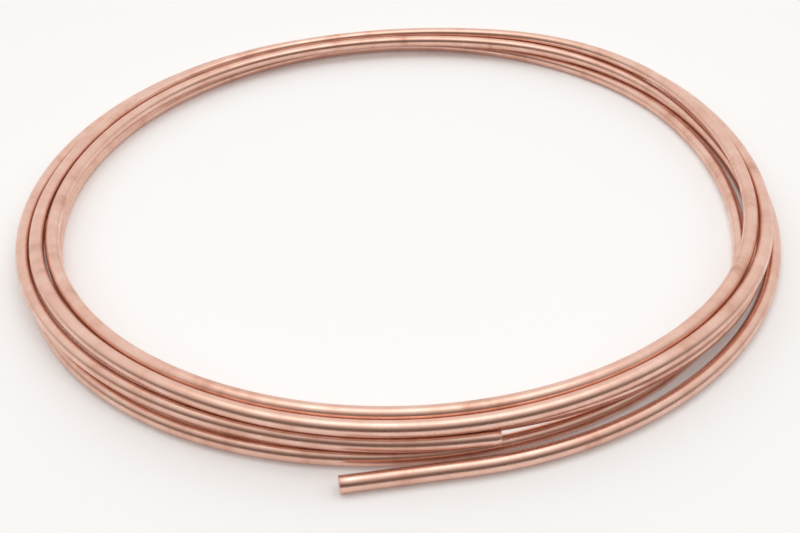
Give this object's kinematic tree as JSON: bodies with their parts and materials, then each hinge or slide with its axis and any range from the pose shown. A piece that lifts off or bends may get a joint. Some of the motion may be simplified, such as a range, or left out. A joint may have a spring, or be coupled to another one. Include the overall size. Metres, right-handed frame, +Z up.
{
  "type": "copper tube coil",
  "caption": "Loose coil of soft copper tube lying flat: one hollow round tube wound in open turns that cross, with one sawn end free and the other tucked between the turns.",
  "frame": {"origin": "on the floor that the coil lies on, under the middle of the whole coil with its free end", "axes": "+Z up from the floor, through the coil's opening; -Y towards the front, where the free end is; +X to the right, from the free end back along the tube"},
  "size_m": [0.8461, 0.8819, 0.0479],
  "materials": {
    "copper": "satin drawn copper, soft and lightly tarnished"
  },
  "bodies": {
    "root": {"copper_tube": "copper"}
  },
  "joints": []
}
